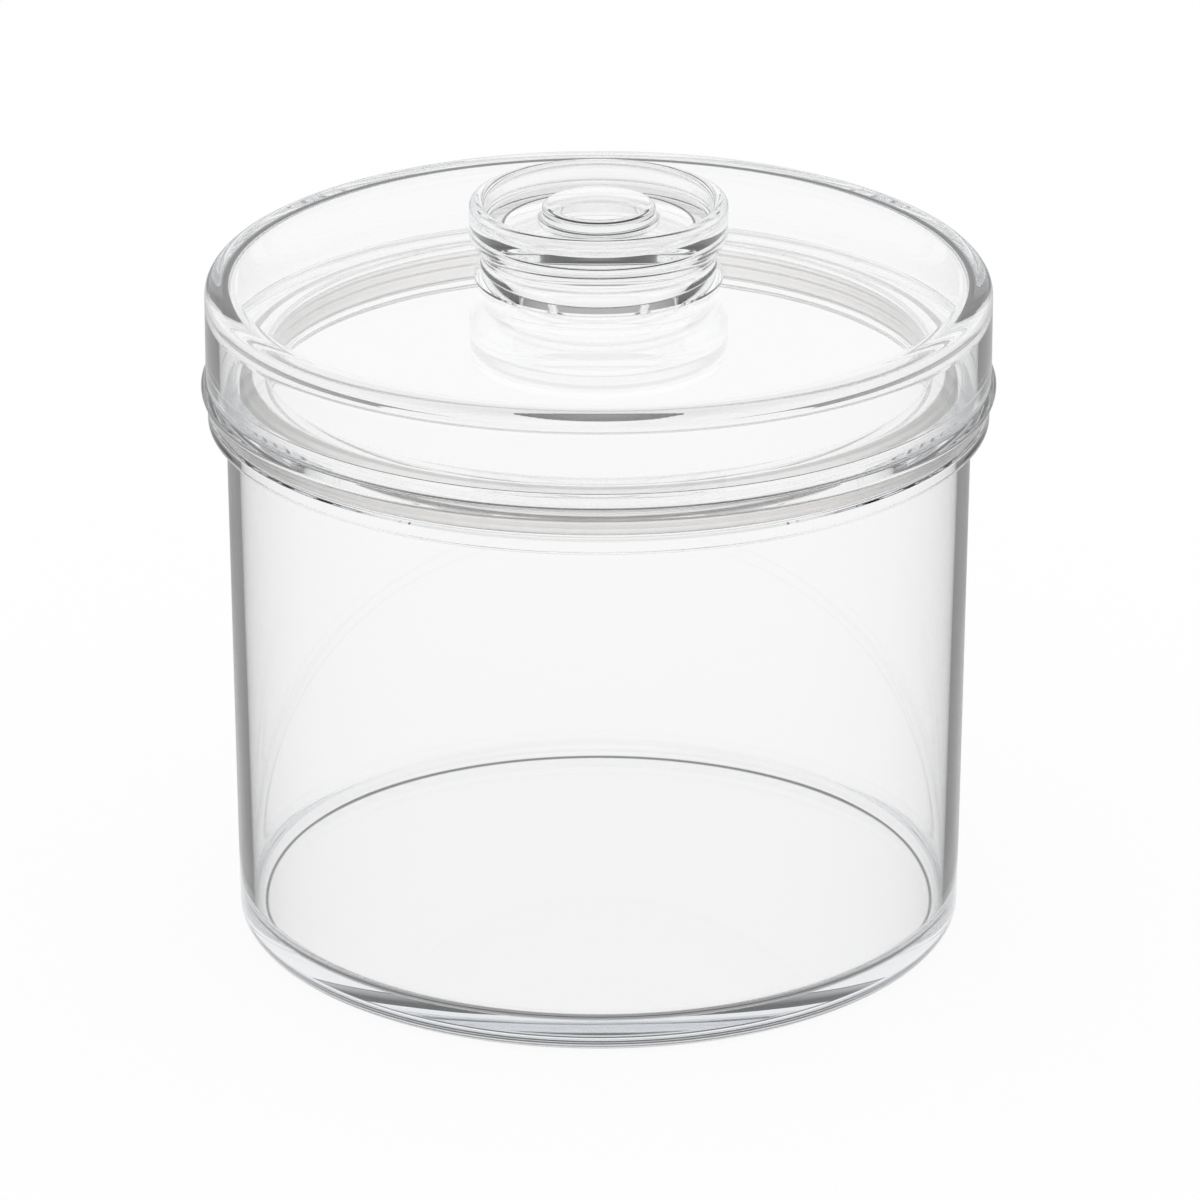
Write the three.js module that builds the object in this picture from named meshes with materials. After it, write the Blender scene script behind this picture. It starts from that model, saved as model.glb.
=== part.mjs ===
// Round clear acrylic jar with a knobbed lid: a one-piece cup with a thickened rim, a hollow drum lid,
// a plug ring bonded into the lid's mouth, a silicone seal round the plug and a hollow knob.
// Millimetres, +Z up, the jar's foot on Z = 0 and its axis on Z.
import * as THREE from "three";

// Facets
const TURN_STEPS = 48; // round the jar, the lid, the ring and the seal
const KNOB_STEPS = 36; // round the knob
const ARC_SAG = 0.06; // greatest distance between a rounding and its facets

// Jar
const JAR_HEIGHT = 89.4; // foot to the rim's flat top
const NECK_RADIUS = 57; // outside of the wall where it meets the rim
const WALL_DRAFT = 1.1; // the outside is this much narrower at the foot
const WALL = 1.6; // wall at the neck
const WALL_GAIN = 0.4; // the wall is this much thicker at the foot
const BASE = 4.4; // thickness of the bottom
const FOOT_ROUND = 3.2; // outer bottom edge
const FLOOR_ROUND = 2.9; // inner bottom edge
const RIM_DEPTH = 7.1; // height of the thickened rim
const RIM_REACH = 2.75; // lower lip of the rim, out from the wall
const LIP_HEIGHT = 2.6; // lower lip, up to the notch
const NOTCH = 0.4; // depth and half width of the notch above the lip
const BEAD_REACH = 1.1; // bead at its widest, out from the lip
const BEAD_DROP = 1.6; // widest line of the bead, below the rim's top
const BEAD_ROUND = 1.2; // rounding of that widest line
const EDGE = 0.5; // broken edges of the rim, lid and ring

// Lid
const LID_REACH = 3; // outside of the lid, out from the jar's wall
const LID_HEIGHT = 15.3; // rim's top to the lid's flat top
const PLATE = 2.2; // thickness of the flat top
const SKIRT = 2.1; // thickness of the lid's side
const SHOULDER_ROUND = 2.4; // outer top edge
const CORNER_ROUND = 2.6; // inner top edge
const REBATE = 0.4; // step inside the skirt that takes the ring's flange
const RING_RISE = 0.7; // flange's underside above the jar's rim
const FLANGE = 1.5; // thickness of the ring's flange
const FIT = 0.2; // clearance of pieces held in one another

// Plug ring and seal
const PLUG_DEPTH = 5.3; // plug below the jar's rim
const PLUG_WALL = 2.3; // wall of the plug behind the seal
const PLUG_LIP = 1; // height of the lip that keeps the seal on
const LIP_REACH = 0.8; // that lip, out from the plug's wall
const SEAL_BODY = 1.4; // thickness of the seal between its ribs
const RIB = 0.6; // height of a rib of the seal
const RIB_ROUND = 0.3; // rounding of a rib's tip
const SEAL_CLEARANCE = 0.3; // ribs to the inside of the jar

// Knob
const KNOB_RADIUS = 19.7; // widest line of the head
const KNOB_HEIGHT = 12.2; // above the lid's flat top
const HEAD_HEIGHT = 5.5; // height of the head
const WAIST_DEPTH = 2.3; // waist, in from the head's lower edge
const WAIST_ROUND = 2.6;
const FOOT_INSET = 0.7; // foot, in from the head
const FOOT_EDGE = 0.5; // upright edge of the foot
const HEAD_EDGE = 0.4; // lower edge of the head
const KNOB_WALL = 2.3; // wall of the hollow knob
const CUP_DEPTH = 3.2; // hollow in the head's top
const BOSS_RADIUS = 8.6; // button in the middle of that hollow
const BOSS_DROP = 0.6; // button's top below the head's rim
const CUP_ROUND = 0.9; // inner roundings of the knob
const KNOB_DRAFT = 0.2; // taper of the knob's inner walls

// Heights
const rimFoot = JAR_HEIGHT - RIM_DEPTH;
const notchZ = rimFoot + LIP_HEIGHT;
const flangeFoot = JAR_HEIGHT + RING_RISE;
const flangeTop = flangeFoot + FLANGE;
const plugFoot = JAR_HEIGHT - PLUG_DEPTH;
const plugLipTop = plugFoot + PLUG_LIP;
const lidTop = JAR_HEIGHT + LID_HEIGHT;

// Radii
const mouthRadius = NECK_RADIUS - WALL;
const lipRadius = NECK_RADIUS + RIM_REACH;
const beadRadius = lipRadius + BEAD_REACH;
const lidRadius = NECK_RADIUS + LID_REACH;
const skirtRadius = lidRadius - SKIRT;
const rebateRadius = skirtRadius + REBATE;
const sealRadius = mouthRadius - SEAL_CLEARANCE;
const sealBodyRadius = sealRadius - RIB;
const sealBore = sealBodyRadius - SEAL_BODY;
const plugRadius = sealBore - FIT;
const plugBore = plugRadius - PLUG_WALL;

const corner = (r, z, rounding = 0) => ({ at: new THREE.Vector2(r, z), rounding });

// The points of the arc that rounds a corner between its two neighbours.
function roundedCorner(before, here, after) {
  if (here.rounding === 0) return [here.at.clone()];
  const inward = before.at.clone().sub(here.at).normalize();
  const outward = after.at.clone().sub(here.at).normalize();
  const half = Math.acos(inward.dot(outward)) / 2;
  const start = here.at.clone().addScaledVector(inward, here.rounding / Math.tan(half));
  const end = here.at.clone().addScaledVector(outward, here.rounding / Math.tan(half));
  const bisector = inward.clone().add(outward).normalize();
  const centre = here.at.clone().addScaledVector(bisector, here.rounding / Math.sin(half));
  const sweep = Math.PI - 2 * half;
  const facet = 2 * Math.acos(1 - Math.min(ARC_SAG / here.rounding, 1));
  const steps = Math.max(2, Math.ceil(sweep / facet));
  const side = Math.sign(inward.cross(outward));
  return Array.from({ length: steps + 1 }, (_, i) =>
    i === steps ? end : start.clone().rotateAround(centre, (-side * sweep * i) / steps),
  );
}

// A solid of revolution about Z from the corners of its section, taken anticlockwise in the r-z plane.
// A section that leaves the axis closes on itself.
function revolve(corners, steps) {
  const last = corners.length - 1;
  const points = corners.flatMap((here, i) =>
    roundedCorner(corners[i === 0 ? last : i - 1], here, corners[i === last ? 0 : i + 1]),
  );
  if (points[0].x > 0) points.push(points[0].clone());
  return new THREE.LatheGeometry(points, steps).rotateX(Math.PI / 2);
}

function clearAcrylic(color, opacity) {
  return new THREE.MeshStandardMaterial({ color, roughness: 0.06, metalness: 0, transparent: true, opacity });
}

function piece(name, geometry, material) {
  const mesh = new THREE.Mesh(geometry, material);
  mesh.name = name;
  return mesh;
}

function jarBody() {
  const inside = mouthRadius - WALL_DRAFT - WALL_GAIN;
  return revolve(
    [
      corner(0, 0),
      corner(NECK_RADIUS - WALL_DRAFT, 0, FOOT_ROUND),
      corner(NECK_RADIUS, rimFoot, EDGE),
      corner(lipRadius, rimFoot, EDGE),
      corner(lipRadius, notchZ - NOTCH),
      corner(lipRadius - NOTCH, notchZ),
      corner(lipRadius, notchZ + NOTCH),
      corner(beadRadius, JAR_HEIGHT - BEAD_DROP, BEAD_ROUND),
      corner(beadRadius - BEAD_DROP / 2, JAR_HEIGHT, EDGE / 2),
      corner(mouthRadius, JAR_HEIGHT, EDGE),
      corner(inside, BASE, FLOOR_ROUND),
      corner(0, BASE),
    ],
    TURN_STEPS,
  );
}

function lidShell() {
  return revolve(
    [
      corner(0, lidTop - PLATE),
      corner(skirtRadius, lidTop - PLATE, CORNER_ROUND),
      corner(skirtRadius, flangeTop),
      corner(rebateRadius, flangeTop),
      corner(rebateRadius, JAR_HEIGHT),
      corner(lidRadius, JAR_HEIGHT, EDGE / 2),
      corner(lidRadius, lidTop, SHOULDER_ROUND),
      corner(0, lidTop),
    ],
    TURN_STEPS,
  );
}

function plugRing() {
  return revolve(
    [
      corner(plugBore, plugFoot, EDGE),
      corner(plugRadius + LIP_REACH, plugFoot, EDGE),
      corner(plugRadius + LIP_REACH, plugLipTop),
      corner(plugRadius, plugLipTop),
      corner(plugRadius, flangeFoot),
      corner(rebateRadius - FIT, flangeFoot),
      corner(rebateRadius - FIT, flangeTop),
      corner(plugBore, flangeTop, EDGE),
    ],
    TURN_STEPS,
  );
}

function sealRing() {
  const foot = plugLipTop + FIT;
  const head = flangeFoot - FIT;
  const rib = (z) => [
    corner(sealBodyRadius, z - RIB),
    corner(sealRadius, z, RIB_ROUND),
    corner(sealBodyRadius, z + RIB),
  ];
  const third = (head - foot) / 3;
  return revolve(
    [
      corner(sealBore, foot),
      corner(sealBodyRadius, foot),
      ...rib(foot + third),
      ...rib(head - third),
      corner(sealBodyRadius, head),
      corner(sealBore, head),
    ],
    TURN_STEPS,
  );
}

function knob() {
  const headFoot = KNOB_HEIGHT - HEAD_HEIGHT;
  const footRadius = KNOB_RADIUS - FOOT_INSET;
  const cupFloor = KNOB_HEIGHT - CUP_DEPTH;
  const bossTop = KNOB_HEIGHT - BOSS_DROP;
  const hollow = KNOB_RADIUS - WAIST_DEPTH - KNOB_WALL;
  const core = BOSS_RADIUS - KNOB_WALL;
  const cup = KNOB_RADIUS - KNOB_WALL;
  return revolve(
    [
      corner(0, bossTop - KNOB_WALL),
      corner(core, bossTop - KNOB_WALL, CUP_ROUND),
      corner(core + KNOB_DRAFT, cupFloor - KNOB_WALL, CUP_ROUND),
      corner(hollow - KNOB_DRAFT, cupFloor - KNOB_WALL, CUP_ROUND),
      corner(hollow, 0),
      corner(footRadius, 0),
      corner(footRadius, FOOT_EDGE),
      corner(KNOB_RADIUS - WAIST_DEPTH, headFoot / 2, WAIST_ROUND),
      corner(KNOB_RADIUS, headFoot, HEAD_EDGE),
      corner(KNOB_RADIUS, KNOB_HEIGHT, KNOB_WALL / 2 - FIT / 2),
      corner(cup, KNOB_HEIGHT, KNOB_WALL / 2 - FIT / 2),
      corner(cup - KNOB_DRAFT, cupFloor, CUP_ROUND),
      corner(BOSS_RADIUS + KNOB_DRAFT, cupFloor, CUP_ROUND),
      corner(BOSS_RADIUS, bossTop, CUP_ROUND),
      corner(0, bossTop),
    ],
    KNOB_STEPS,
  ).translate(0, 0, lidTop);
}

const lid = new THREE.Group();
lid.name = "lid";
lid.add(
  piece("lid_shell", lidShell(), clearAcrylic(0xf3f6f6, 0.3)),
  piece("plug_ring", plugRing(), clearAcrylic(0xf1f3f2, 0.35)),
  piece(
    "seal_ring",
    sealRing(),
    new THREE.MeshStandardMaterial({
      color: 0xe6e0d4,
      roughness: 0.45,
      metalness: 0,
      transparent: true,
      opacity: 0.6,
    }),
  ),
  piece("knob", knob(), clearAcrylic(0xf2f5f7, 0.3)),
);

const jar = new THREE.Group();
jar.name = "acrylic_jar";
jar.add(piece("jar_body", jarBody(), clearAcrylic(0xf4f7f7, 0.3)), lid);

export default jar;
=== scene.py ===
"""Clear acrylic jar with a knobbed lid.

Each clear piece is a turned surface that stands in its packed place, with its moulded finish, and a white
studio stands round it. All sizes are in metres.
"""

import math

import bpy
import numpy as np
from bpy.props import FloatProperty, FloatVectorProperty, IntProperty, PointerProperty
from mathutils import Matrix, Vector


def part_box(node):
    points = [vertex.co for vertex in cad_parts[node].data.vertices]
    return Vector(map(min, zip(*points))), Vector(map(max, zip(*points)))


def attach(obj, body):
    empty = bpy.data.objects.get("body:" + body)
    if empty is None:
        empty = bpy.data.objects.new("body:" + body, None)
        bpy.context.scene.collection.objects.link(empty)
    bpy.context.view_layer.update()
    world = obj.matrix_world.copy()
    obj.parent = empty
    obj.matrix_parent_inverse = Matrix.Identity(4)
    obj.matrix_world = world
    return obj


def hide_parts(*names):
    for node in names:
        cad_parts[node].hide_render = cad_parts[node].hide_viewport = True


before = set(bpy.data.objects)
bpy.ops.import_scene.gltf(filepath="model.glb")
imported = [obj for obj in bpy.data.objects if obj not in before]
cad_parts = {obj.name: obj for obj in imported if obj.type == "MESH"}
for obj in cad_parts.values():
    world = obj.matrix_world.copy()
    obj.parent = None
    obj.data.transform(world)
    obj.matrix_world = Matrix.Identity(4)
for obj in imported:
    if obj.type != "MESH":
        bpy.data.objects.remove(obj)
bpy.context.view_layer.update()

bl_info = {
    "name": "Clear Acrylic Jar",
    "version": (1, 0, 0),
    "blender": (4, 5, 0),
    "location": "View3D > Sidebar > Jar",
    "description": "Builds a clear acrylic jar with a knobbed lid in a white studio",
    "category": "Add Mesh",
}

MM = 0.001
PHOTO_PIXELS = 1200  # the photograph is square
SENSOR = 36 * MM

# sRGB coding: dark values are divided by the slope, and those above the knee follow a power
SRGB_KNEE = 0.04045
SRGB_SLOPE = 12.92
SRGB_OFFSET = 0.055
SRGB_POWER = 2.4
WHITE = (1.0, 1.0, 1.0, 1.0)

# Surfaces
SAME_POINT = 1e-7  # points nearer than this are one
SUPPORT_SHARE = 1 / 3  # most of a side that one support strip takes
SHARP_EDGE = math.radians(40)  # edges that turn more than this are shaded sharp

# What a ray went through: faces of clear walls, and mirror turns
ONE_WALL = 2  # faces, in and out
TWO_WALLS = 4
FEWEST_TURNS = 1
MOST_TURNS = 3
HALF = 0.5  # parts one whole count from the next

JAR_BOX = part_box("jar_body")
LID_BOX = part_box("lid_shell")
PLUG_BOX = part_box("plug_ring")
SEAL_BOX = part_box("seal_ring")
KNOB_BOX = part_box("knob")


def linear(hex_colour):
    """Linear red, green and blue of an sRGB colour written as six hex digits."""
    coded = np.array(list(bytes.fromhex(hex_colour))) / 255
    power = ((coded + SRGB_OFFSET) / (1 + SRGB_OFFSET)) ** SRGB_POWER
    return tuple(np.where(coded <= SRGB_KNEE, coded / SRGB_SLOPE, power).tolist())


def opaque(rgb):
    """A colour with full alpha, as a node's socket takes it."""
    return (*rgb, 1.0)


def length(name, description, metres):
    """A length that the user can change."""
    return FloatProperty(
        name=name, description=description, default=metres, min=0.0, precision=5, unit="LENGTH"
    )


def angle(name, description, degrees):
    """An angle that the user can change, from its value in degrees."""
    return FloatProperty(name=name, description=description, default=math.radians(degrees), subtype="ANGLE")


def fraction(name, description, part):
    """A number from 0 to 1 that the user can change."""
    return FloatProperty(
        name=name, description=description, default=part, min=0.0, max=1.0, precision=3, subtype="FACTOR"
    )


def colour(name, description, hex_colour):
    """A colour that the user can change, from its sRGB hex value."""
    return FloatVectorProperty(
        name=name, description=description, default=linear(hex_colour), min=0.0, max=1.0, subtype="COLOR"
    )


class JarSizes(bpy.types.PropertyGroup):
    """Sizes of the cup and its thickened rim."""

    height: length("Height", "Foot to the rim's flat top", JAR_BOX[1].z)
    neck: length("Neck radius", "Outside of the wall where it meets the rim", 57.0 * MM)
    draft: length("Draft", "How much narrower the outside is at the foot", 1.1 * MM)
    wall: length("Wall", "Wall at the neck", 1.6 * MM)
    wall_gain: length("Wall gain", "How much thicker the wall is at the foot", 0.4 * MM)
    base: length("Base", "Thickness of the bottom", 4.4 * MM)
    foot_round: length("Foot rounding", "Outer bottom edge", 3.2 * MM)
    floor_round: length("Floor rounding", "Inner bottom edge", 2.9 * MM)
    rim_depth: length("Rim depth", "Height of the thickened rim", 7.1 * MM)
    rim_reach: length("Rim reach", "Lower lip of the rim, out from the wall", 2.75 * MM)
    lip_height: length("Lip height", "Lower lip, up to the notch", 2.6 * MM)
    notch: length("Notch", "Depth and half width of the notch above the lip", 0.4 * MM)
    notch_edge: length("Notch edge", "Rounding of the notch's edges", 0.15 * MM)
    bead_reach: length("Bead reach", "Bead at its widest, out from the lip", 1.1 * MM)
    bead_drop: length("Bead drop", "Widest line of the bead, below the rim's top", 1.6 * MM)
    bead_round: length("Bead rounding", "Rounding of the bead's widest line", 1.2 * MM)
    edge: length("Edge", "Broken edges of the rim", 0.5 * MM)


class LidSizes(bpy.types.PropertyGroup):
    """Sizes of the hollow drum of the lid."""

    radius: length("Radius", "Outside of the lid", LID_BOX[1].x)
    top: length("Top", "Flat top, above the jar's foot", LID_BOX[1].z)
    foot: length("Foot", "Lower edge of the side, above the jar's foot", LID_BOX[0].z)
    plate: length("Plate", "Thickness of the flat top", 2.2 * MM)
    skirt: length("Skirt", "Thickness of the side", 2.1 * MM)
    shoulder: length("Shoulder", "Rounding of the outer top edge", 2.4 * MM)
    corner: length("Corner", "Rounding of the inner top edge", 2.6 * MM)
    rebate: length("Rebate", "Step inside the side that takes the ring's flange", 0.4 * MM)
    edge: length("Edge", "Broken edges of the side's foot", 0.25 * MM)


class PlugSizes(bpy.types.PropertyGroup):
    """Sizes of the ring bonded into the lid's mouth."""

    flange_radius: length("Flange radius", "Outside of the flange", PLUG_BOX[1].x)
    top: length("Top", "Flange's upper face, above the jar's foot", PLUG_BOX[1].z)
    foot: length("Foot", "Lower end of the plug, above the jar's foot", PLUG_BOX[0].z)
    bore: length("Bore radius", "Inside of the ring", 50.6 * MM)
    flange: length("Flange", "Thickness of the flange", 1.5 * MM)
    wall: length("Wall", "Wall of the plug behind the seal", 2.3 * MM)
    lip: length("Lip", "Height of the lip that keeps the seal on", 1.0 * MM)
    lip_reach: length("Lip reach", "That lip, out from the plug's wall", 0.8 * MM)
    edge: length("Edge", "Rounding of the bore's edges", 0.5 * MM)
    fine_edge: length("Fine edge", "Rounding of the other edges", 0.15 * MM)


class SealSizes(bpy.types.PropertyGroup):
    """Sizes of the soft seal round the plug."""

    radius: length("Radius", "Tips of the ribs", SEAL_BOX[1].x)
    top: length("Top", "Upper end, above the jar's foot", SEAL_BOX[1].z)
    foot: length("Foot", "Lower end, above the jar's foot", SEAL_BOX[0].z)
    body: length("Body", "Thickness between the ribs", 1.4 * MM)
    rib: length("Rib", "Height and half width of a rib", 0.6 * MM)
    rib_round: length("Rib rounding", "Rounding of a rib's tip", 0.25 * MM)
    edge: length("Edge", "Rounding of the other edges", 0.2 * MM)


class KnobSizes(bpy.types.PropertyGroup):
    """Sizes of the hollow finger knob."""

    radius: length("Radius", "Widest line of the head", KNOB_BOX[1].x)
    foot: length("Foot", "Lower face, above the jar's foot", KNOB_BOX[0].z)
    top: length("Top", "Rim of the head, above the jar's foot", KNOB_BOX[1].z)
    head: length("Head", "Height of the head", 5.5 * MM)
    waist: length("Waist", "Waist, in from the head's lower edge", 2.3 * MM)
    waist_round: length("Waist rounding", "Rounding of the waist", 2.6 * MM)
    foot_inset: length("Foot inset", "Foot, in from the head", 0.7 * MM)
    foot_edge: length("Foot edge", "Upright edge of the foot", 0.5 * MM)
    head_edge: length("Head edge", "Rounding of the head's lower edge", 0.4 * MM)
    wall: length("Wall", "Wall of the hollow knob", 2.3 * MM)
    cup: length("Cup", "Depth of the hollow in the head's top", 3.2 * MM)
    crest: length("Crest", "Rounding of the head's rim", 1.05 * MM)
    button: length("Button radius", "Button in the middle of the cup", 8.6 * MM)
    button_drop: length("Button drop", "Button's top below the head's rim", 0.6 * MM)
    inner_round: length("Inner rounding", "Inner roundings of the knob", 0.9 * MM)
    draft: length("Draft", "Taper of the inner walls", 0.2 * MM)
    fine_edge: length("Fine edge", "Rounding of the foot's edges", 0.15 * MM)


class FinishSettings(bpy.types.PropertyGroup):
    """Finishes of the two plastics and how finely the surfaces are divided."""

    acrylic: colour("Acrylic", "Surface colour of the clear acrylic", "FFFFFF")
    acrylic_depth: colour("Acrylic depth", "Colour that light takes on a long way through it", "CBD1D8")
    depth_density: FloatProperty(
        name="Depth density", description="How fast light takes that colour, per metre", default=4.0
    )
    ripple: length("Ripple", "Length of the ripple that the mould leaves", 16.0 * MM)
    ripple_depth: length("Ripple depth", "Depth of that ripple", 0.008 * MM)
    haze: length("Haze", "Size of the patches of haze on the acrylic", 7.0 * MM)
    haze_roughness: fraction("Haze roughness", "Roughness where the haze is thickest", 0.01)
    silicone: colour("Silicone", "Colour of the translucent seal", "FDFCFB")
    silicone_shade: colour("Silicone shade", "Colour of the cloud in the seal", "F8F6F3")
    cloud: length("Cloud", "Size of the cloud in the seal", 3.0 * MM)
    satin: fraction("Satin", "Roughness of the seal's smoothest skin", 0.28)
    dull: fraction("Dull", "Roughness of the seal's dullest skin", 0.42)
    segments: IntProperty(name="Segments", description="Steps round each piece", default=320, min=12)
    arc_steps: IntProperty(name="Arc steps", description="Steps along each rounding", default=10, min=1)
    support: length("Support", "Flat strip that keeps a rounding's shading off its neighbours", 0.12 * MM)
    film: length("Air film", "Air between faces that rest on each other", 0.012 * MM)


class StageSettings(bpy.types.PropertyGroup):
    """The camera, the white floor and the light."""

    elevation: angle("Elevation", "Camera above the horizon", 21.79)
    focal: length("Focal length", "Focal length of the lens", 270.0 * MM)
    distance: length("Distance", "Camera to the point that it looks at", 1388.9 * MM)
    aim: length("Aim", "Height of the point in the middle of the picture", 51.45 * MM)
    off_centre: FloatProperty(
        name="Off centre",
        description="Jar's axis left of the picture's middle, in photograph pixels",
        default=1.3,
        subtype="PIXEL",
    )
    bounces: IntProperty(
        name="Bounces", description="Turns that light may take inside the clear pieces", default=64, min=0
    )

    floor_radius: length("Floor radius", "Half width of the floor", 4.0)
    floor: colour("Floor", "Colour of the floor", "FCFCFC")
    shadow: fraction("Shadow", "Share of the floor that takes light and shade", 0.07)
    surround: fraction("Surround", "Brightness of the studio, as the inside of a clear wall mirrors it", 0.1)
    glance: fraction("Glance", "Brightness of the floor, as the outside of a clear wall mirrors it", 0.55)
    sheet_edge: length("Sheet edge", "Radius of the floor that one clear wall mirrors as white", 58.0 * MM)
    sheet_fade: length("Sheet fade", "Width over which that ends", 8.0 * MM)
    deep_edge: length("Deep edge", "Radius of the floor that two clear walls mirror as white", 400.0 * MM)
    deep_fade: length("Deep fade", "Width over which that ends", 300.0 * MM)
    under: fraction("Under", "Brightness of the floor under the jar, as a wall's inside mirrors it", 0.35)
    foot_shade: length("Foot shade", "Radius of the floor that counts as under the jar", 54.0 * MM)
    foot_fade: length("Foot fade", "Width over which that ends", 4.0 * MM)
    # Painted contact shadow: a dark ring painted into the floor's glow where the foot's rounding meets the
    # floor
    seam: length("Seam", "Radius of the line where the foot's rounding meets the floor", 53.0 * MM)
    contact_shadow_core: length("Seam core", "Half width of the darkest part of the shade on that line", 0.2 * MM)
    contact_shadow_width: length("Seam width", "Half width of that shade", 0.8 * MM)
    contact_shadow_shade: fraction("Seam shade", "Brightness of that shade", 0.1)

    level: fraction("Level", "Plain light from the room on matt surfaces", 1.0)
    backdrop_top: angle("Backdrop top", "Height of the white backdrop", 29.0)
    gap: fraction("Gap", "Brightness of the dark gap between the backdrop and the overhead window", 0.05)
    gap_foot: angle("Gap foot", "Height where the gap is darkest", 43.0)
    gap_top: angle("Gap top", "Height where the gap ends", 70.0)
    window_foot: angle("Window foot", "Lower edge of the overhead window", 78.0)
    strip: angle("Strip", "Height of the light strip that the lid's flat top mirrors", 20.0)
    strip_width: angle("Strip width", "Half width of that strip", 1.8)
    strip_fade: angle("Strip fade", "Width over which it ends", 1.2)
    strip_level: fraction("Strip level", "Brightness of that strip", 0.7)


class JarSettings(bpy.types.PropertyGroup):
    """All settings of the jar and its studio."""

    jar: PointerProperty(type=JarSizes, name="Jar", description="Sizes of the cup")
    lid: PointerProperty(type=LidSizes, name="Lid", description="Sizes of the lid's drum")
    plug: PointerProperty(type=PlugSizes, name="Plug", description="Sizes of the plug ring")
    seal: PointerProperty(type=SealSizes, name="Seal", description="Sizes of the seal")
    knob: PointerProperty(type=KnobSizes, name="Knob", description="Sizes of the knob")
    finish: PointerProperty(type=FinishSettings, name="Finish", description="Finishes and fineness")
    stage: PointerProperty(type=StageSettings, name="Stage", description="Camera, floor and light")


def unit(vectors):
    """Vectors scaled to length one."""
    return vectors / np.linalg.norm(vectors, axis=-1, keepdims=True)


def rounded_section(corners, finish):
    """Points of a section whose corners are (radius, height, rounding), taken anticlockwise.

    Each corner becomes the arc that touches both its sides: its centre lies on the corner's bisector, at
    rounding / sin(half angle), and the arc sweeps pi less the corner's angle. A short strip before and after
    each arc keeps its shading off the flats.
    """
    corners = np.array(corners)
    at = corners[:, :2]
    rounding = corners[:, 2:]
    before = np.roll(at, 1, 0) - at
    after = np.roll(at, -1, 0) - at
    to_before = unit(before)
    to_after = unit(after)
    half = np.arccos(np.clip((to_before * to_after).sum(1, keepdims=True), -1, 1)) / 2
    reach = rounding / np.tan(half)
    outward = -unit(to_before + to_after)
    across = np.stack([-outward[:, 1], outward[:, 0]], 1)
    turn = to_before[:, :1] * to_after[:, 1:] - to_before[:, 1:] * to_after[:, :1]
    centre = at - outward * rounding / np.sin(half)
    sweep = -np.sign(turn) * (math.pi - 2 * half) * np.linspace(-0.5, 0.5, finish.arc_steps + 1)
    spokes = np.cos(sweep)[..., None] * outward[:, None] + np.sin(sweep)[..., None] * across[:, None]
    arcs = centre[:, None] + rounding[:, None] * spokes
    room_before = np.linalg.norm(before, axis=1, keepdims=True) - reach - np.roll(reach, 1, 0)
    room_after = np.roll(room_before, -1, 0)
    strip_before = at + to_before * (reach + np.minimum(finish.support, room_before * SUPPORT_SHARE))
    strip_after = at + to_after * (reach + np.minimum(finish.support, room_after * SUPPORT_SHARE))
    points = np.concatenate([strip_before[:, None], arcs, strip_after[:, None]], 1).reshape(-1, 2)
    points[:, 0] = np.maximum(points[:, 0], 0)
    apart = np.linalg.norm(points - np.roll(points, 1, 0), axis=1) > SAME_POINT
    return points[apart]


def turned_mesh(name, section, segments):
    """Mesh of a section carried round Z: (r, z) at bearing t goes to (r cos t, r sin t, z).

    A section that has points on the axis starts and ends there, with one vertex and a fan of triangles at
    each end. A section clear of the axis closes on itself.
    """
    on_axis = section[:, 0] < SAME_POINT
    rings = section[~on_axis]
    count = len(rings)
    bearing = np.arange(segments) * 2 * math.pi / segments
    around = np.stack([np.cos(bearing), np.sin(bearing)], -1)
    grid = np.empty((count, segments, 3))
    grid[..., :2] = rings[:, None, :1] * around
    grid[..., 2] = rings[:, 1:]
    vertices = grid.reshape(-1, 3)
    row = np.arange(count)[:, None] * segments
    here = np.arange(segments)
    beside = np.roll(here, -1)
    next_row = np.roll(row, -1)
    quads = np.stack(np.broadcast_arrays(row + here, row + beside, next_row + beside, next_row + here), -1)
    fans = []
    if on_axis.any():
        heights = section[on_axis, 1]
        poles = np.zeros((2, 3))
        poles[:, 2] = heights.min(), heights.max()
        if rings[0, 1] > rings[-1, 1]:
            poles = poles[::-1]
        vertices = np.concatenate([vertices, poles])
        first = np.full(segments, count * segments)
        last_row = (count - 1) * segments
        first_fan = np.stack([first, beside, here], 1)
        last_fan = np.stack([first + 1, last_row + here, last_row + beside], 1)
        fans = np.concatenate([first_fan, last_fan]).tolist()
        quads = quads[:-1]
    mesh = bpy.data.meshes.new(name)
    mesh.from_pydata(vertices.tolist(), [], quads.reshape(-1, 4).tolist() + fans)
    mesh.shade_smooth()
    mesh.set_sharp_from_angle(angle=SHARP_EDGE)
    return mesh


def add_node(tree, kind, values=None, links=None, **settings):
    """Adds one node: settings are its own options, values go on its sockets and links feed its sockets."""
    made = tree.nodes.new(kind)
    for option, choice in settings.items():
        setattr(made, option, choice)
    for socket, value in (values or {}).items():
        made.inputs[socket].default_value = value
    for socket, source in (links or {}).items():
        tree.links.new(source, made.inputs[socket])
    return made


def material_of(recipe, settings):
    """The material that a recipe's nodes make. It has the recipe's name and is made once."""
    material = bpy.data.materials.get(recipe.__name__)
    if material is None:
        material = bpy.data.materials.new(recipe.__name__)
        material.use_nodes = True
        material.node_tree.nodes.clear()
        recipe(material.node_tree, settings)
    return material


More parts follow.
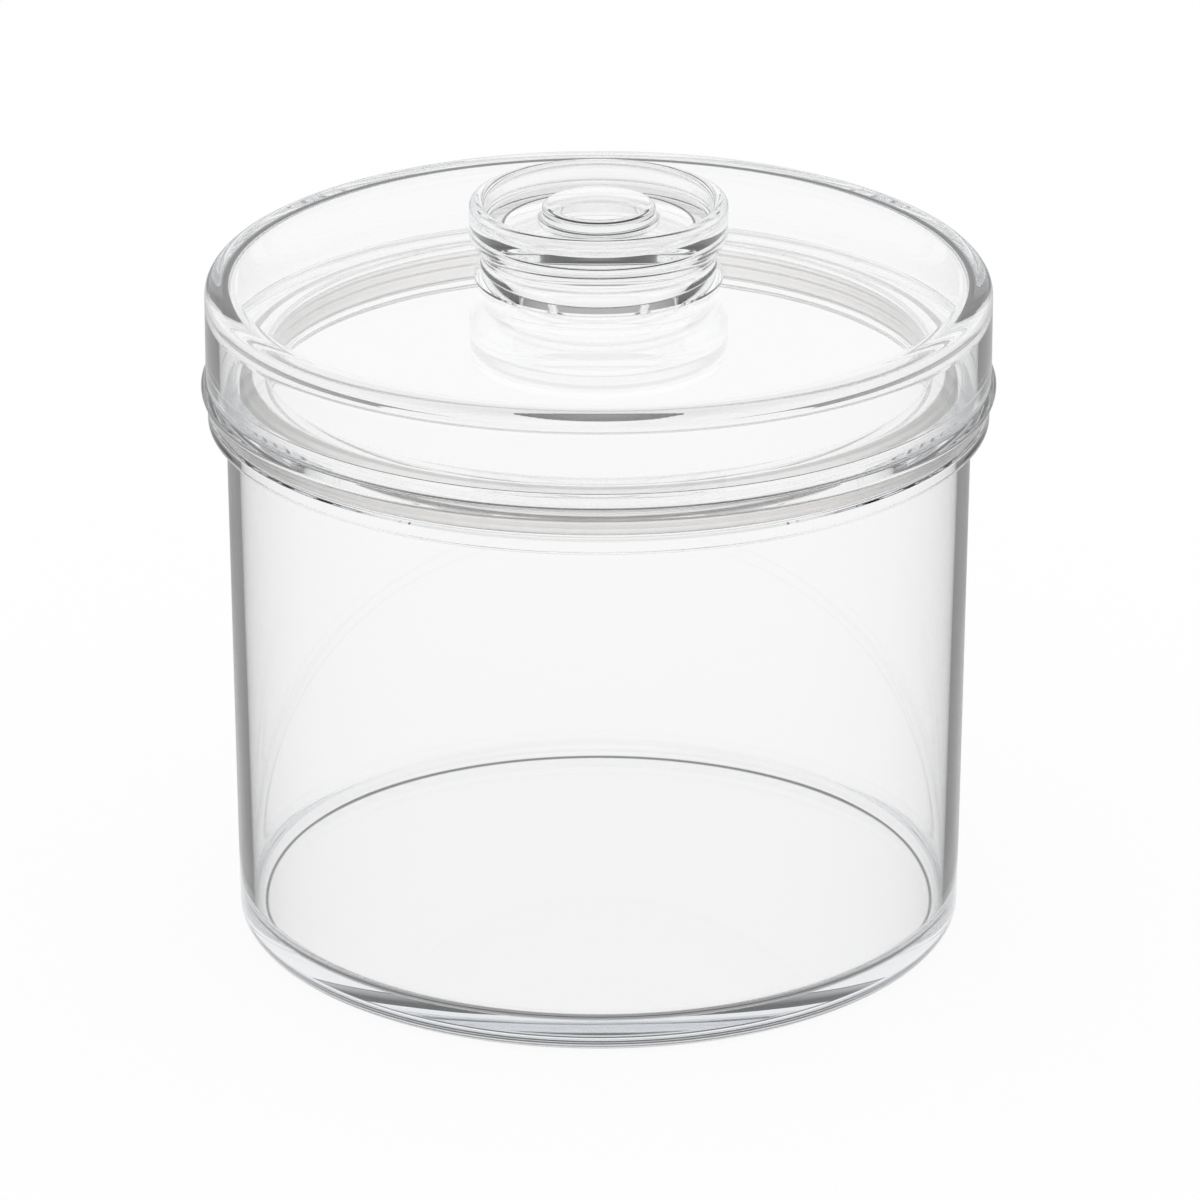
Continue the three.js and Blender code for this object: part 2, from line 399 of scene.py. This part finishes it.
def moulded_clear_acrylic(tree, finish):
    """Polished clear acrylic (PMMA), injection moulded.

    To the eye it is water clear with a high gloss. The steel tool leaves a long ripple, less than a
    hundredth of a millimetre deep, and long ways through the plastic turn blue grey. Handling leaves a very
    faint haze. Its scratches are too fine to show, so it is drawn as patches some millimetres across.
    """
    place = add_node(tree, "ShaderNodeTexCoord").outputs["Object"]
    ripple = add_node(
        tree,
        "ShaderNodeTexNoise",
        values={"Scale": 1 / finish.ripple, "Detail": 1.0, "Roughness": 0.4},
        links={"Vector": place},
    )
    bump = add_node(
        tree,
        "ShaderNodeBump",
        values={"Strength": 1.0, "Distance": finish.ripple_depth},
        links={"Height": ripple.outputs["Fac"]},
    )
    haze = add_node(
        tree,
        "ShaderNodeTexNoise",
        values={"Scale": 1 / finish.haze, "Detail": 3.0, "Roughness": 0.6},
        links={"Vector": place},
    )
    roughness = add_node(
        tree,
        "ShaderNodeMapRange",
        values={"From Min": 0.35, "From Max": 0.75, "To Min": 0.0, "To Max": finish.haze_roughness},
        links={"Value": haze.outputs["Fac"]},
    )
    surface = add_node(
        tree,
        "ShaderNodeBsdfPrincipled",
        values={"Base Color": opaque(finish.acrylic), "IOR": 1.49, "Transmission Weight": 1.0},
        links={"Roughness": roughness.outputs["Result"], "Normal": bump.outputs["Normal"]},
    )
    depth = add_node(
        tree,
        "ShaderNodeVolumeAbsorption",
        values={"Color": opaque(finish.acrylic_depth), "Density": finish.depth_density},
    )
    add_node(
        tree,
        "ShaderNodeOutputMaterial",
        links={"Surface": surface.outputs["BSDF"], "Volume": depth.outputs["Volume"]},
    )


def moulded_silicone(tree, finish):
    """Translucent silicone rubber, compression moulded.

    To the eye it is milky and a little warm, with a satin skin and a cloud in it. The grain of its filler is
    too fine to show, so the cloud is drawn some millimetres across.
    """
    place = add_node(tree, "ShaderNodeTexCoord").outputs["Object"]
    cloud = add_node(
        tree,
        "ShaderNodeTexNoise",
        values={"Scale": 1 / finish.cloud, "Detail": 3.0, "Roughness": 0.55},
        links={"Vector": place},
    )
    tone = add_node(
        tree,
        "ShaderNodeMix",
        values={"A": opaque(finish.silicone), "B": opaque(finish.silicone_shade)},
        links={"Factor": cloud.outputs["Fac"]},
        data_type="RGBA",
    )
    skin = add_node(
        tree,
        "ShaderNodeMapRange",
        values={"To Min": finish.satin, "To Max": finish.dull},
        links={"Value": cloud.outputs["Fac"]},
    )
    surface = add_node(
        tree,
        "ShaderNodeBsdfPrincipled",
        values={"IOR": 1.41, "Transmission Weight": 1.0},
        links={"Base Color": tone.outputs["Result"], "Roughness": skin.outputs["Result"]},
    )
    add_node(tree, "ShaderNodeOutputMaterial", links={"Surface": surface.outputs["BSDF"]})


def add_piece(name, corners, recipe, node, body, finish):
    """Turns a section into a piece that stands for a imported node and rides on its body."""
    mesh = turned_mesh(name, rounded_section(corners, finish), finish.segments)
    mesh.materials.append(material_of(recipe, finish))
    piece = bpy.data.objects.new(name, mesh)
    bpy.context.scene.collection.objects.link(piece)
    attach(piece, body)
    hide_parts(node)


def jar_section(jar):
    """Corners of the cup: flat bottom, drafted wall, lip, notch and bead of the rim, then down the inside."""
    mouth = jar.neck - jar.wall
    lip = jar.neck + jar.rim_reach
    rim_foot = jar.height - jar.rim_depth
    notch = rim_foot + jar.lip_height
    bead = lip + jar.bead_reach
    return [
        (0, 0, 0),
        (jar.neck - jar.draft, 0, jar.foot_round),
        (jar.neck, rim_foot, jar.edge),
        (lip, rim_foot, jar.edge),
        (lip, notch - jar.notch, jar.notch_edge),
        (lip - jar.notch, notch, jar.notch_edge),
        (lip, notch + jar.notch, jar.notch_edge),
        (bead, jar.height - jar.bead_drop, jar.bead_round),
        (bead - jar.bead_drop / 2, jar.height, jar.edge / 2),
        (mouth, jar.height, jar.edge),
        (mouth - jar.draft - jar.wall_gain, jar.base, jar.floor_round),
        (0, jar.base, 0),
    ]


def lid_section(lid, plug_top, film):
    """Corners of the drum: under the flat top, down the inside to the flange's step, and up the outside."""
    inside = lid.radius - lid.skirt
    return [
        (0, lid.top - lid.plate, 0),
        (inside, lid.top - lid.plate, lid.corner),
        (inside, plug_top + film, lid.edge / 2),
        (inside + lid.rebate, plug_top + film, lid.edge / 2),
        (inside + lid.rebate, lid.foot + film, lid.edge),
        (lid.radius, lid.foot + film, lid.edge),
        (lid.radius, lid.top, lid.shoulder),
        (0, lid.top, 0),
    ]


def plug_section(plug):
    """Corners of the ring: the plug with the lip under its seal, and the flange above."""
    wall = plug.bore + plug.wall
    flange_foot = plug.top - plug.flange
    return [
        (plug.bore, plug.foot, plug.edge),
        (wall + plug.lip_reach, plug.foot, plug.edge),
        (wall + plug.lip_reach, plug.foot + plug.lip, plug.fine_edge),
        (wall, plug.foot + plug.lip, plug.fine_edge),
        (wall, flange_foot, plug.fine_edge),
        (plug.flange_radius, flange_foot, plug.fine_edge),
        (plug.flange_radius, plug.top, plug.fine_edge),
        (plug.bore, plug.top, plug.edge),
    ]


def seal_section(seal):
    """Corners of the seal: a plain band with a rounded rib at each third of its height."""
    skin = seal.radius - seal.rib
    bore = skin - seal.body
    third = (seal.top - seal.foot) / 3

    def rib(height):
        return [
            (skin, height - seal.rib, seal.edge),
            (seal.radius, height, seal.rib_round),
            (skin, height + seal.rib, seal.edge),
        ]

    return [
        (bore, seal.foot, seal.edge),
        (skin, seal.foot, seal.edge),
        *rib(seal.foot + third),
        *rib(seal.top - third),
        (skin, seal.top, seal.edge),
        (bore, seal.top, seal.edge),
    ]


def knob_section(knob, film):
    """Corners of the knob: out under the button, down the hollow, the foot, waist, head, cup and button."""
    foot = knob.foot + film
    head_foot = knob.top - knob.head
    cup_floor = knob.top - knob.cup
    button_top = knob.top - knob.button_drop
    hollow = knob.radius - knob.waist - knob.wall
    cup = knob.radius - knob.wall
    foot_radius = knob.radius - knob.foot_inset
    return [
        (0, cup_floor - knob.wall, 0),
        (hollow - knob.draft, cup_floor - knob.wall, knob.inner_round),
        (hollow, foot, knob.fine_edge),
        (foot_radius, foot, knob.fine_edge),
        (foot_radius, foot + knob.foot_edge, knob.fine_edge),
        (knob.radius - knob.waist, (foot + head_foot) / 2, knob.waist_round),
        (knob.radius, head_foot, knob.head_edge),
        (knob.radius, knob.top, knob.crest),
        (cup, knob.top, knob.crest),
        (cup - knob.draft, cup_floor, knob.inner_round),
        (knob.button + knob.draft, cup_floor, knob.inner_round),
        (knob.button, button_top, knob.inner_round),
        (0, button_top, 0),
    ]


class JAR_OT_body(bpy.types.Operator):
    """Builds the clear cup with its thickened rim"""

    bl_idname = "acrylic_jar.body"
    bl_label = "Jar Body"

    def execute(self, context):
        settings = context.scene.acrylic_jar
        finish = settings.finish
        corners = jar_section(settings.jar)
        add_piece("clear_jar", corners, moulded_clear_acrylic, "jar_body", "jar", finish)
        return {"FINISHED"}


class JAR_OT_lid(bpy.types.Operator):
    """Builds the hollow drum of the lid"""

    bl_idname = "acrylic_jar.lid"
    bl_label = "Lid Drum"

    def execute(self, context):
        settings = context.scene.acrylic_jar
        finish = settings.finish
        corners = lid_section(settings.lid, settings.plug.top, finish.film)
        add_piece("clear_lid", corners, moulded_clear_acrylic, "lid_shell", "lid", finish)
        return {"FINISHED"}


class JAR_OT_plug(bpy.types.Operator):
    """Builds the ring bonded into the lid's mouth"""

    bl_idname = "acrylic_jar.plug"
    bl_label = "Plug Ring"

    def execute(self, context):
        settings = context.scene.acrylic_jar
        finish = settings.finish
        corners = plug_section(settings.plug)
        add_piece("clear_plug", corners, moulded_clear_acrylic, "plug_ring", "lid", finish)
        return {"FINISHED"}


class JAR_OT_seal(bpy.types.Operator):
    """Builds the soft ribbed seal round the plug"""

    bl_idname = "acrylic_jar.seal"
    bl_label = "Seal"

    def execute(self, context):
        settings = context.scene.acrylic_jar
        finish = settings.finish
        corners = seal_section(settings.seal)
        add_piece("soft_seal", corners, moulded_silicone, "seal_ring", "lid", finish)
        return {"FINISHED"}


class JAR_OT_knob(bpy.types.Operator):
    """Builds the hollow finger knob"""

    bl_idname = "acrylic_jar.knob"
    bl_label = "Knob"

    def execute(self, context):
        settings = context.scene.acrylic_jar
        finish = settings.finish
        corners = knob_section(settings.knob, finish.film)
        add_piece("clear_knob", corners, moulded_clear_acrylic, "knob", "lid", finish)
        return {"FINISHED"}


def seen_rays(tree, path):
    """One for rays that show the background: from the camera, mirrored or through something clear."""
    through = add_node(
        tree,
        "ShaderNodeMath",
        links={0: path.outputs["Is Glossy Ray"], 1: path.outputs["Is Transmission Ray"]},
        operation="MAXIMUM",
    )
    seen = add_node(
        tree,
        "ShaderNodeMath",
        links={0: path.outputs["Is Camera Ray"], 1: through.outputs[0]},
        operation="MAXIMUM",
    )
    return seen.outputs[0]


def mirrored_inside(tree, path):
    """One for rays that went in and out of one clear wall and were mirrored inside it a few times."""
    walls = add_node(
        tree,
        "ShaderNodeMath",
        values={1: ONE_WALL, 2: HALF},
        links={0: path.outputs["Transmission Depth"]},
        operation="COMPARE",
    )
    middle = (FEWEST_TURNS + MOST_TURNS) / 2
    turns = add_node(
        tree,
        "ShaderNodeMath",
        values={1: middle, 2: MOST_TURNS - middle + HALF},
        links={0: path.outputs["Glossy Depth"]},
        operation="COMPARE",
    )
    both = add_node(
        tree, "ShaderNodeMath", links={0: walls.outputs[0], 1: turns.outputs[0]}, operation="MULTIPLY"
    )
    return both.outputs[0]


def mirrored_floor(tree, path, stage):
    """Share of the floor's white that a ray shows: one, or less where clear walls mirror the floor.

    Light mirrored inside one wall is dim everywhere, but less so under the jar. Light mirrored on or in one
    wall is dim once the floor is away from the foot, and light mirrored in two walls once it is far away. A
    narrow painted shadow darkens the floor's glow in a ring where the foot's rounding meets the floor.
    """
    place = add_node(tree, "ShaderNodeTexCoord").outputs["Object"]
    away = add_node(tree, "ShaderNodeVectorMath", links={0: place}, operation="LENGTH").outputs["Value"]
    under = add_node(
        tree,
        "ShaderNodeMapRange",
        values={
            "From Min": stage.foot_shade,
            "From Max": stage.foot_shade + stage.foot_fade,
            "To Min": stage.under,
            "To Max": stage.surround,
        },
        links={"Value": away},
        interpolation_type="SMOOTHSTEP",
    )
    inner = add_node(
        tree,
        "ShaderNodeMix",
        values={"A": 1.0},
        links={"Factor": mirrored_inside(tree, path), "B": under.outputs["Result"]},
        data_type="FLOAT",
    )
    share = inner.outputs["Result"]

    mirrored = add_node(
        tree,
        "ShaderNodeMath",
        values={1: FEWEST_TURNS - HALF},
        links={0: path.outputs["Glossy Depth"]},
        operation="GREATER_THAN",
    )
    dimmest = add_node(
        tree,
        "ShaderNodeMapRange",
        values={"To Min": stage.glance, "To Max": stage.surround},
        links={"Value": path.outputs["Transmission Depth"]},
    )
    one_wall = (ONE_WALL, stage.sheet_edge, stage.sheet_fade)
    two_walls = (TWO_WALLS, stage.deep_edge, stage.deep_fade)
    for faces, edge, fade in (one_wall, two_walls):
        few = add_node(
            tree,
            "ShaderNodeMath",
            values={1: faces + HALF},
            links={0: path.outputs["Transmission Depth"]},
            operation="LESS_THAN",
        )
        both = add_node(
            tree, "ShaderNodeMath", links={0: few.outputs[0], 1: mirrored.outputs[0]}, operation="MULTIPLY"
        )
        far = add_node(
            tree,
            "ShaderNodeMapRange",
            values={"From Min": edge, "From Max": edge + fade, "To Min": 1.0},
            links={"Value": away, "To Max": dimmest.outputs["Result"]},
            interpolation_type="SMOOTHSTEP",
        )
        outer = add_node(
            tree,
            "ShaderNodeMix",
            values={"A": 1.0},
            links={"Factor": both.outputs[0], "B": far.outputs["Result"]},
            data_type="FLOAT",
        )
        dimmer = add_node(
            tree, "ShaderNodeMath", links={0: share, 1: outer.outputs["Result"]}, operation="MINIMUM"
        )
        share = dimmer.outputs[0]

    # Painted contact shadow: the floor's glow is darkened in a narrow ring under the foot's rounding
    past_contact_shadow = add_node(
        tree, "ShaderNodeMath", values={1: stage.seam}, links={0: away}, operation="SUBTRACT"
    )
    off_contact_shadow = add_node(tree, "ShaderNodeMath", links={0: past_contact_shadow.outputs[0]}, operation="ABSOLUTE")
    contact = add_node(
        tree,
        "ShaderNodeMapRange",
        values={
            "From Min": stage.contact_shadow_core,
            "From Max": stage.contact_shadow_width,
            "To Min": stage.contact_shadow_shade,
            "To Max": 1.0,
        },
        links={"Value": off_contact_shadow.outputs[0]},
        interpolation_type="SMOOTHSTEP",
    )
    shaded = add_node(
        tree, "ShaderNodeMath", links={0: share, 1: contact.outputs["Result"]}, operation="MULTIPLY"
    )
    return shaded.outputs[0]


def white_paper(tree, stage):
    """White seamless paper: matt, so that it keeps a faint shadow, and white where it is looked at."""
    path = add_node(tree, "ShaderNodeLightPath")
    paper = add_node(tree, "ShaderNodeBsdfDiffuse", values={"Color": opaque(stage.floor)})
    glow = add_node(
        tree,
        "ShaderNodeEmission",
        values={"Color": WHITE},
        links={"Strength": mirrored_floor(tree, path, stage)},
    )
    share = add_node(
        tree,
        "ShaderNodeMath",
        values={1: 1 - stage.shadow},
        links={0: seen_rays(tree, path)},
        operation="MULTIPLY",
    )
    mixed = add_node(
        tree,
        "ShaderNodeMixShader",
        links={0: share.outputs[0], 1: paper.outputs["BSDF"], 2: glow.outputs["Emission"]},
    )
    add_node(tree, "ShaderNodeOutputMaterial", links={"Surface": mixed.outputs["Shader"]})


def room_bands(tree, height, stage):
    """Colour of the room by height: a white backdrop, a dark gap above it and a white window overhead."""
    bands = add_node(tree, "ShaderNodeValToRGB", links={"Fac": height})
    dark = opaque((stage.gap, stage.gap, stage.gap))
    steps = (
        (stage.backdrop_top, WHITE),
        (stage.gap_foot, dark),
        (stage.gap_top, dark),
        (stage.window_foot, WHITE),
    )
    ramp = bands.color_ramp
    ramp.elements[0].color = WHITE
    ramp.elements[-1].color = WHITE
    for altitude, tone in steps:
        ramp.elements.new(math.sin(altitude)).color = tone
    return bands.outputs["Color"]


def room_strength(tree, path, height, stage):
    """Brightness of the room: one, or dim for light mirrored inside one wall, apart from a low strip."""
    altitude = add_node(tree, "ShaderNodeMath", links={0: height}, operation="ARCSINE")
    past_strip = add_node(
        tree, "ShaderNodeMath", values={1: stage.strip}, links={0: altitude.outputs[0]}, operation="SUBTRACT"
    )
    off_strip = add_node(tree, "ShaderNodeMath", links={0: past_strip.outputs[0]}, operation="ABSOLUTE")
    dimmed = add_node(
        tree,
        "ShaderNodeMapRange",
        values={
            "From Min": stage.strip_width,
            "From Max": stage.strip_width + stage.strip_fade,
            "To Min": stage.strip_level,
            "To Max": stage.surround,
        },
        links={"Value": off_strip.outputs[0]},
        interpolation_type="SMOOTHSTEP",
    )
    strength = add_node(
        tree,
        "ShaderNodeMapRange",
        values={"To Min": 1.0},
        links={"Value": mirrored_inside(tree, path), "To Max": dimmed.outputs["Result"]},
    )
    return strength.outputs["Result"]


def studio_room(stage):
    """A white studio. Matt surfaces get plain even light from it.

    Only what is seen through or in a gloss shows the room's bands. The camera, and light that was mirrored
    many times in several walls, see plain white.
    """
    world = bpy.data.worlds.new("studio_room")
    world.use_nodes = True
    tree = world.node_tree
    tree.nodes.clear()
    path = add_node(tree, "ShaderNodeLightPath")
    direction = add_node(tree, "ShaderNodeTexCoord").outputs["Generated"]
    height = add_node(tree, "ShaderNodeSeparateXYZ", links={"Vector": direction}).outputs["Z"]
    deep = add_node(
        tree,
        "ShaderNodeMath",
        values={1: ONE_WALL + HALF},
        links={0: path.outputs["Transmission Depth"]},
        operation="GREATER_THAN",
    )
    often = add_node(
        tree,
        "ShaderNodeMath",
        values={1: MOST_TURNS + HALF},
        links={0: path.outputs["Glossy Depth"]},
        operation="GREATER_THAN",
    )
    mixed_up = add_node(
        tree, "ShaderNodeMath", links={0: deep.outputs[0], 1: often.outputs[0]}, operation="MULTIPLY"
    )
    whiten = add_node(
        tree,
        "ShaderNodeMath",
        links={0: mixed_up.outputs[0], 1: path.outputs["Is Camera Ray"]},
        operation="MAXIMUM",
    )
    tone = add_node(
        tree,
        "ShaderNodeMix",
        values={"B": WHITE},
        links={"Factor": whiten.outputs[0], "A": room_bands(tree, height, stage)},
        data_type="RGBA",
    )
    shown = add_node(
        tree,
        "ShaderNodeBackground",
        links={"Color": tone.outputs["Result"], "Strength": room_strength(tree, path, height, stage)},
    )
    plain = add_node(tree, "ShaderNodeBackground", values={"Color": WHITE, "Strength": stage.level})
    mixed = add_node(
        tree,
        "ShaderNodeMixShader",
        links={0: seen_rays(tree, path), 1: plain.outputs["Background"], 2: shown.outputs["Background"]},
    )
    add_node(tree, "ShaderNodeOutputWorld", links={"Surface": mixed.outputs["Shader"]})
    return world


def add_camera(scene, stage):
    """The photograph's camera: in front of the jar, with a long lens that looks down on it."""
    lens = bpy.data.cameras.new("camera")
    lens.sensor_width = SENSOR / MM
    lens.lens = stage.focal / MM
    lens.clip_end = stage.distance + 2 * stage.floor_radius
    lens.shift_x = stage.off_centre / PHOTO_PIXELS
    camera = bpy.data.objects.new("camera", lens)
    away = stage.distance * math.cos(stage.elevation)
    above = stage.distance * math.sin(stage.elevation)
    camera.location = (0.0, -away, stage.aim + above)
    camera.rotation_euler = (math.pi / 2 - stage.elevation, 0.0, 0.0)
    scene.collection.objects.link(camera)
    scene.camera = camera


def add_floor(scene, stage, film):
    """The floor: a flat square of paper, an air film below the jar's foot."""
    half = stage.floor_radius
    corners = [(-half, -half, -film), (half, -half, -film), (half, half, -film), (-half, half, -film)]
    mesh = bpy.data.meshes.new("floor")
    mesh.from_pydata(corners, [], [(0, 1, 2, 3)])
    mesh.materials.append(material_of(white_paper, stage))
    floor = bpy.data.objects.new("floor", mesh)
    scene.collection.objects.link(floor)


class JAR_OT_stage(bpy.types.Operator):
    """Sets the camera, the white floor and the light"""

    bl_idname = "acrylic_jar.stage"
    bl_label = "Stage"

    def execute(self, context):
        scene = context.scene
        settings = scene.acrylic_jar
        stage = settings.stage
        add_camera(scene, stage)
        add_floor(scene, stage, settings.finish.film)
        scene.world = studio_room(stage)
        scene.view_settings.view_transform = "Standard"
        scene.cycles.max_bounces = stage.bounces
        scene.cycles.transmission_bounces = stage.bounces
        scene.cycles.glossy_bounces = stage.bounces
        return {"FINISHED"}


class JAR_PT_panel(bpy.types.Panel):
    """Lists the jar's pieces and its stage"""

    bl_idname = "VIEW3D_PT_acrylic_jar"
    bl_label = "Acrylic Jar"
    bl_space_type = "VIEW_3D"
    bl_region_type = "UI"
    bl_category = "Jar"

    def draw(self, context):
        for operator in OPERATORS:
            self.layout.operator(operator.bl_idname)


OPERATORS = (JAR_OT_stage, JAR_OT_body, JAR_OT_lid, JAR_OT_plug, JAR_OT_seal, JAR_OT_knob)
GROUPS = (JarSizes, LidSizes, PlugSizes, SealSizes, KnobSizes, FinishSettings, StageSettings, JarSettings)
CLASSES = (*GROUPS, *OPERATORS, JAR_PT_panel)


def register():
    """Adds the settings, the operators and the panel."""
    for item in CLASSES:
        bpy.utils.register_class(item)
    bpy.types.Scene.acrylic_jar = PointerProperty(type=JarSettings)


def unregister():
    """Takes them away again."""
    del bpy.types.Scene.acrylic_jar
    for item in reversed(CLASSES):
        bpy.utils.unregister_class(item)


def main():
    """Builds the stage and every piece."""
    register()
    bpy.ops.acrylic_jar.stage()
    bpy.ops.acrylic_jar.body()
    bpy.ops.acrylic_jar.lid()
    bpy.ops.acrylic_jar.plug()
    bpy.ops.acrylic_jar.seal()
    bpy.ops.acrylic_jar.knob()


if __name__ == "__main__":
    main()
